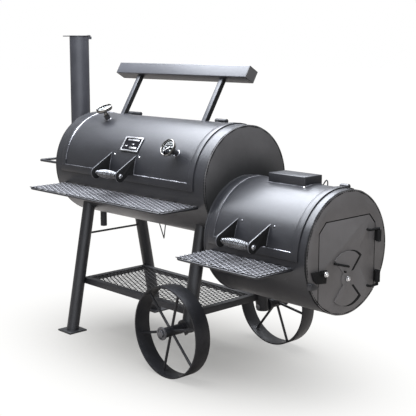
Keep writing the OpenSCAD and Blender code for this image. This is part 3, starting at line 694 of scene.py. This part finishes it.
def dial_numbers(marks, here):
    """Adds the numbers 0 to 500 to a dial's marks."""
    for i in range(6):
        angle = radians(ZERO_ANGLE - i * 10 * TICK_TURN)
        letters = bpy.data.curves.new("number", "FONT")
        letters.body = str(100 * i)
        letters.size = 8.0
        letters.align_x = letters.align_y = "CENTER"
        letters.extrude = 0.1
        letters.resolution_u = 2
        stand = bpy.data.objects.new("number", letters)
        bpy.context.scene.collection.objects.link(stand)
        bpy.context.view_layer.update()
        mesh = bpy.data.meshes.new_from_object(stand)
        bpy.data.objects.remove(stand)
        mesh.transform(here @ Matrix.Translation((18.5 * cos(angle), 18.5 * sin(angle), 55.5)))
        marks.from_mesh(mesh)
        bpy.data.meshes.remove(mesh)


def gauge(x, a, side):
    """Dial thermometer: case with stem and nut, dial, marks, glass, pointer and the weld of its socket.
    The left one also stands for the nodes that hold both."""
    here = on_skin(x, a, BARREL_Z, LID)

    def stands_for(node):
        return (node,) if side == "left" else ()

    case = merge(bmesh.new(), lathe(
        [(0, 46), (12, 46), (12.5, 45), (13, 46), (31, 46.5), (36.5, 48), (39.2, 51), (40, 55), (40, 62),
         (39, 65), (37.2, 66), (35.6, 65.2), (35.2, 63), (35.2, 55), (34.8, 54.2), (0, 54.2)], 64), here)
    merge(case, rod((0, 0, -48), (0, 0, 46.5), 4.5, 24, None, 1.0), here)
    merge(case, rod((0, 0, 24.2), (0, 0, 33.2), 11.5, 6, None, 1.2), here)
    merge(case, rod((0, 0, 33.2), (0, 0, 38), 8, 24, 6.5, 0.6), here)
    show(side + "_gauge_case", case, "main_lid", (CASE,), stands_for("thermometer_cases"))
    face = merge(bmesh.new(), rod((0, 0, 54), (0, 0, 55.4), 35.0, 64), here)
    merge(face, rod((0, 0, 55), (0, 0, 59), 1.5, 20), here)
    show(side + "_dial", face, "main_lid", (FACE,), stands_for("thermometer_dials"))

    marks, hot = bmesh.new(), bmesh.new()
    for i in range(TICKS):
        turn = here @ Matrix.Rotation(radians(ZERO_ANGLE - i * TICK_TURN), 4, "Z")
        long, half = (8.0, 0.9) if i % 5 == 0 else (4.0, 0.5)
        merge(marks, block((31.0 - long, -half, 55.35), (31.0, half, 55.6), 0), turn)
        if 29 <= i <= 47:
            merge(hot, block((31.6, -1.55, 55.35), (34.2, 1.55, 55.6), 0), turn)
    dial_numbers(marks, here)
    show(side + "_dial_marks", marks, "main_lid", (WHITE,))
    show(side + "_dial_hot_band", hot, "main_lid", (ORANGE,))
    glass = lathe([(0, 61), (35.0, 61), (35.0, 62.6), (27, 63.3), (14, 63.8), (0, 64)], 64)
    show(side + "_gauge_glass", merge(bmesh.new(), glass, here), "main_lid", (LENS,),
         stands_for("thermometer_lenses"))

    pointer = rod((0, 0, 56.5), (0, 0, 58.1), 4.0, 28, None, 0.4)
    hand = block((-10, -2.2, 56.6), (28, 2.2, 57.6), 0)
    for v in hand.verts:
        if v.co.x > 0:
            v.co.y *= 0.35
    merge(pointer, ease(hand, 0.2, 1))
    turned = merge(bmesh.new(), pointer, here @ Matrix.Rotation(radians(ZERO_ANGLE), 4, "Z"))
    show(side + "_pointer", turned, side + "_gauge_needle", (WHITE,), (side + "_needle",))
    ring = [here @ Vector((15.5 * cos(i * pi / 16), 15.5 * sin(i * pi / 16), 0.6)) for i in range(33)]
    # its bright finish is a painted highlight on the socket's foot
    show(side + "_socket_weld", bead(ring, 2.0), "main_lid", (WELD_HIGHLIGHT,))


for x, a, side in GAUGES:
    gauge(x, a, side)


# ---------------------------------------------------------------- weld beads, and beads of painted shade

def welds(name, body, finish, *beads):
    """One piece of several weld beads, each a path and its radius."""
    bm = bmesh.new()
    for path, r in beads:
        merge(bm, bead(path, r))
    show(name, bm, body, (finish,))


# bright painted highlight on the lit stretches of the lid's welds, dim on the rest
welds("main_lid_welds", "main_lid", WELD_HIGHLIGHT,
      (around(MAIN_LID[0], 24, 106, BARREL_Z, LID + 1.6), 2.3),
      (along(-468, -110, MAIN_LID_HEM, BARREL_Z, LID + 1.2), 2.7))
welds("main_lid_dull_welds", "main_lid", DIM_WELD_HIGHLIGHT,
      (around(MAIN_LID[0], 8, 23, BARREL_Z, LID + 1.4), 2.2),
      (along(MAIN_LID[0], -655, MAIN_LID_HEM, BARREL_Z, LID + 1.2), 2.4),
      (along(-645, -478, MAIN_LID_HEM, BARREL_Z, LID + 1.2), 2.0))
# the same for the firebox lid
welds("firebox_lid_welds", "firebox_lid", WELD_HIGHLIGHT,
      (along(398, 484, FIREBOX_LID_HEM, FIREBOX_Z, LID + 1.2), 2.6))
welds("firebox_lid_dull_welds", "firebox_lid", DIM_WELD_HIGHLIGHT,
      (around(FIREBOX_LID[0], 6.5, 109, FIREBOX_Z, LID + 1.2), 2.2),
      (along(FIREBOX_LID[0], 390, FIREBOX_LID_HEM, FIREBOX_Z, LID + 1.2), 2.2))
# deep black beads in the gap at each lid's right edge: painted shade in the gap
welds("lid_edge_painted_shade", "stand_and_barrel", DEEP_BLACK_AND_SHADE,
      (around(MAIN_LID[1], 1.0, 106.4, BARREL_Z, PIPE - 3), 6.0),
      (around(FIREBOX_LID[1], 3.6, 109.4, FIREBOX_Z, PIPE - 3), 6.6))


def handle_roots(name, body, x_middle, turn, axis_z):
    """Beads on both sides of a handle's two plates, and the round tack beside each plate."""
    # beads lightened as a dim painted highlight
    welds(name + "_handle_welds", body, DIM_WELD_HIGHLIGHT,
          *((around(x_middle + x, 3 + turn, 22 + turn, axis_z, LID + 0.8), 1.6) for x in HANDLE_PLATES))
    tacks = bmesh.new()
    for x in (x_middle - 66.5, x_middle + 112.5):
        merge(tacks, lathe([(0, -2), (4.6, -1.5), (4.2, 1.2), (2.4, 2.7), (0, 3.2)], 20),
              on_skin(x, 21.3 + turn, axis_z, LID + 0.5))
    show(name + "_handle_tacks", tacks, body, (NUT if name == "main" else DULL_NUT,))


for handle in HANDLES:
    handle_roots(*handle)


def strut_welds():
    """A bead round each strut where it meets the round lid."""
    feet = []
    for x in STRUTS:
        corners = [LEAN @ Vector((x + u, v, 0)) for u, v in ((-1, -11), (26, -11), (26, 16), (-1, 16))]
        ring = loop_of(corners, 3.0)
        for p in ring:
            p.z = BARREL_Z + (LID ** 2 - p.y ** 2) ** 0.5 + 0.6
        feet.append((ring + ring[:1], 2.4))
    # beads lightened as a dim painted highlight
    welds("strut_welds", "main_lid", DIM_WELD_HIGHLIGHT, *feet)


def warming_box_welds():
    """Beads round the flat box on the firebox lid, with a bright blob at its near corner."""
    low, high = span("warming_box")
    foot = FIREBOX_Z + (LID ** 2 - 54 ** 2) ** 0.5
    # beads lightened as a dim painted highlight
    welds("warming_box_front_weld", "firebox_lid", DIM_WELD_HIGHLIGHT,
          (straight((low.x, -56, foot + 0.5), (high.x, -56, foot + 0.5)), 3.2))
    blob = lathe([(0, -3), (5, -2), (6, 1), (4, 4.5), (0, 6)], 20)
    show("warming_box_corner_weld", merge(bmesh.new(), blob, Matrix.Translation((high.x, -57, foot))),
         "firebox_lid", (NUT,))
    welds("warming_box_welds", "firebox_lid", DIM_WELD_HIGHLIGHT,
          (straight((low.x, 55, foot + 1), (high.x, 55, foot + 1)), 2.2),
          *((around(x, 90 - 12.4, 90 + 12.4, FIREBOX_Z, LID + 0.8), 2.0) for x in (low.x - 1, high.x + 1)))


strut_welds()
warming_box_welds()
# the end plates' weld beads are deep black: painted shade in the seam round each plate
welds("end_plate_welds", "stand_and_barrel", DEEP_BLACK_AND_SHADE,
      (around(-5.4, -252, 107, BARREL_Z, PIPE - 3.4), 4.4),
      (around(BARREL_X + 5.4, -252, 107, BARREL_Z, PIPE - 3.4), 4.4),
      (around(END_X - 5.6, -180, 179, FIREBOX_Z, PIPE - 3.6), 4.8))
welds("firebox_joint_weld", "stand_and_barrel", BLACK,
      (around(1.5, -88, 268, FIREBOX_Z, PIPE + 0.2), 2.8))
# a deep black ring just inside each plate's rim: painted shade in the seam
welds("end_plate_shade_rings", "stand_and_barrel", DEEP_BLACK_AND_SHADE,
      (around(-3.0, -35, 200, BARREL_Z, PIPE - 5.5), 3.8),
      (around(END_X - 3.0, -180, 179, FIREBOX_Z, PIPE - 5.5), 3.8))


# ---------------------------------------------------------------- stage

def pale_floor():
    """Floor that takes the object's soft shadow near it and runs out to plain white for the camera; its glow
    is weaker near the object, which paints shade round it as well.
    """
    bm = bmesh.new()
    bmesh.ops.create_grid(bm, x_segments=1, y_segments=1, size=40)
    mesh = bpy.data.meshes.new("floor")
    bm.to_mesh(mesh)
    bm.free()
    floor = bpy.data.objects.new("floor", mesh)
    bpy.context.scene.collection.objects.link(floor)
    ground = Finish("pale floor", Roughness=0.9)
    camera_ray = ground.node("ShaderNodeLightPath", output="Is Camera Ray")
    ground.feed(Base_Color=ground.mix(camera_ray, (0.29, 0.265, 0.24), (0.143, 0.134, 0.118)))
    # the glow fades towards the object in an oval: painted shade round it on top of its real shadow
    reach = ground.distance((0, 0, 0), (0.62, 1, 1))
    share = camera_ray * (reach.between(0.10, 0.85) * 0.75 + 0.25)
    glow = ground.node("ShaderNodeEmission", None, {"Color": (1, 0.998, 0.99), "Strength": 1.02})
    lit = Field(ground, ground.shader.outputs[0])
    blend = ground.node("ShaderNodeMixShader", None, {0: share, 1: lit, 2: glow})
    ground.join(ground.tree.nodes["Material Output"].inputs["Surface"], blend)
    mesh.materials.append(ground.material)


def studio_air():
    """White for the camera and through glass, and dimmer light for everything else."""
    world = bpy.data.worlds.new("studio")
    bpy.context.scene.world = world
    world.use_nodes = True
    air = Nodes(world.node_tree)
    seen = air.node("ShaderNodeLightPath", output="Is Camera Ray")
    through = air.node("ShaderNodeLightPath", output="Is Transmission Ray")
    white = air.node("ShaderNodeMath", {"operation": "MAXIMUM"}, {0: seen, 1: through})
    level = air.node("ShaderNodeMapRange", None, {"Value": white, "To Min": 0.4, "To Max": 1.0})
    background = air.tree.nodes["Background"]
    air.join(background.inputs["Color"], (1, 1, 1))
    air.join(background.inputs["Strength"], level)


def softbox(name, place, aim, width, height, power):
    """Rectangular light; its width is level and its height tilts towards the aim."""
    lamp = bpy.data.lights.new(name, "AREA")
    lamp.shape = "RECTANGLE"
    lamp.size = width
    lamp.size_y = height
    lamp.energy = power
    lamp.color = COOL_WHITE
    stand = bpy.data.objects.new(name, lamp)
    stand.location = place
    stand.rotation_euler = (Vector(aim) - Vector(place)).to_track_quat("-Z", "Y").to_euler()
    bpy.context.scene.collection.objects.link(stand)


COOL_WHITE = (0.88, 0.92, 1.0)
EYE = PLACE @ Vector((2793, -2894, 1432))
AIM = PLACE @ Vector((-283.1, 0, 726.9))

pale_floor()
studio_air()
softbox("top softbox", (-0.45, -0.05, 3.0), (-0.45, -0.05, 0.8), 3.4, 4.1, 545)
softbox("middle softbox", (-0.9, 0.2, 2.95), (-0.9, 0.2, 0.8), 1.5, 1.2, 28)
softbox("front panel", (4.2, -4.0, 1.9), (0.0, 0.0, 0.8), 7.4, 3.4, 250)

camera = bpy.data.objects.new("camera", bpy.data.cameras.new("camera"))
camera.location = EYE
camera.rotation_euler = (AIM - EYE).to_track_quat("-Z", "Y").to_euler()
camera.data.lens = 80.2
camera.data.shift_x = 0.0139
camera.data.shift_y = -0.0231
bpy.context.scene.collection.objects.link(camera)
bpy.context.scene.camera = camera
bpy.context.scene.view_settings.view_transform = "Standard"
